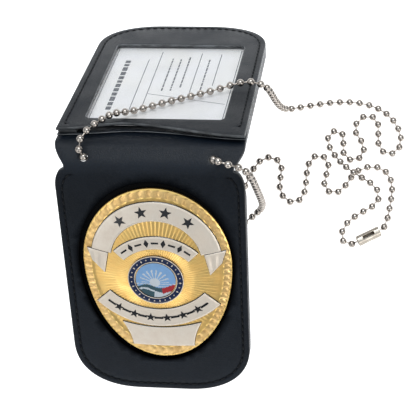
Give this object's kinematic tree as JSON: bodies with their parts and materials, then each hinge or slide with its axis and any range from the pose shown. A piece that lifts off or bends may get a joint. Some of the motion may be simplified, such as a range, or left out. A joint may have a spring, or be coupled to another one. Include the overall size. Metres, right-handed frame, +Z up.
{
  "type": "neck badge holder",
  "caption": "Fold-over black leather neck badge holder: recessed oval badge on one panel, windowed card pocket on the other, worn on a bead chain.",
  "frame": {"origin": "on the table, under the middle of the standing tent's box, the free chain left out", "axes": "+X along the ridge towards the loose chain, +Y from the badge panel towards the ID flap, +Z up"},
  "size_m": [0.1309, 0.1578, 0.0838],
  "materials": {
    "leather_black": "smooth black cowhide with a soft sheen",
    "lining_black": "thin matt black lining leather",
    "thread_black": "waxed black thread",
    "badge_gold": "polished gold plating",
    "badge_silver": "satin silver plating",
    "chain_nickel": "bright nickel plating",
    "enamel_blue": "glossy dark blue enamel",
    "enamel_seal": "glossy enamel, light blue with white and red",
    "card_white": "printed white card",
    "window_clear": "clear flexible film"
  },
  "bodies": {
    "spine": {"spine_leather": "leather_black", "chain_inner_run": "chain_nickel", "chain_over_flap": "chain_nickel", "chain_left_drop": "chain_nickel", "chain_table_left": "chain_nickel", "chain_connector": "chain_nickel", "chain_table_right": "chain_nickel", "chain_under_turn": "chain_nickel", "chain_right_drop": "chain_nickel"},
    "badge_panel": {"badge_panel_front": "leather_black", "badge_panel_core": "leather_black", "badge_panel_back": "lining_black", "badge_panel_stitching": "thread_black", "badge_body": "badge_gold", "badge_ribbon_top": "badge_silver", "badge_tail_left": "badge_silver", "badge_tail_right": "badge_silver", "badge_ribbon_title": "badge_silver", "badge_ribbon_lower": "badge_silver", "badge_number_plate": "badge_silver", "badge_seal_ring": "enamel_blue", "badge_seal_disc": "enamel_seal", "pin_hinge_block": "badge_silver", "pin_catch": "badge_silver", "catch_sleeve": "badge_silver", "pin_stem": "chain_nickel", "pin_loop": "leather_black"},
    "id_flap": {"flap_back": "leather_black", "flap_liner": "leather_black", "pocket_welt": "lining_black", "window_film": "window_clear", "flap_frame": "leather_black", "flap_stitching": "thread_black"},
    "id_card": {"id_card": "card_white"}
  },
  "joints": [
    {"name": "badge_panel_fold", "type": "hinge", "parent": "spine", "child": "badge_panel", "pos_m": [0, -0.00673, 0.07652], "axis": [-1, 0, 0], "range_deg": [-44, 46], "deforming": ["chain_right_drop", "chain_under_turn"]},
    {"name": "id_flap_fold", "type": "hinge", "parent": "spine", "child": "id_flap", "pos_m": [0, 0.00227, 0.07652], "axis": [1, 0, 0], "range_deg": [-44, 46], "deforming": ["chain_over_flap", "chain_left_drop"]},
    {"name": "id_card_slide", "type": "slide", "parent": "id_flap", "child": "id_card", "axis": [0, -0.6946, 0.7194], "range_m": [0, 0.014]}
  ]
}
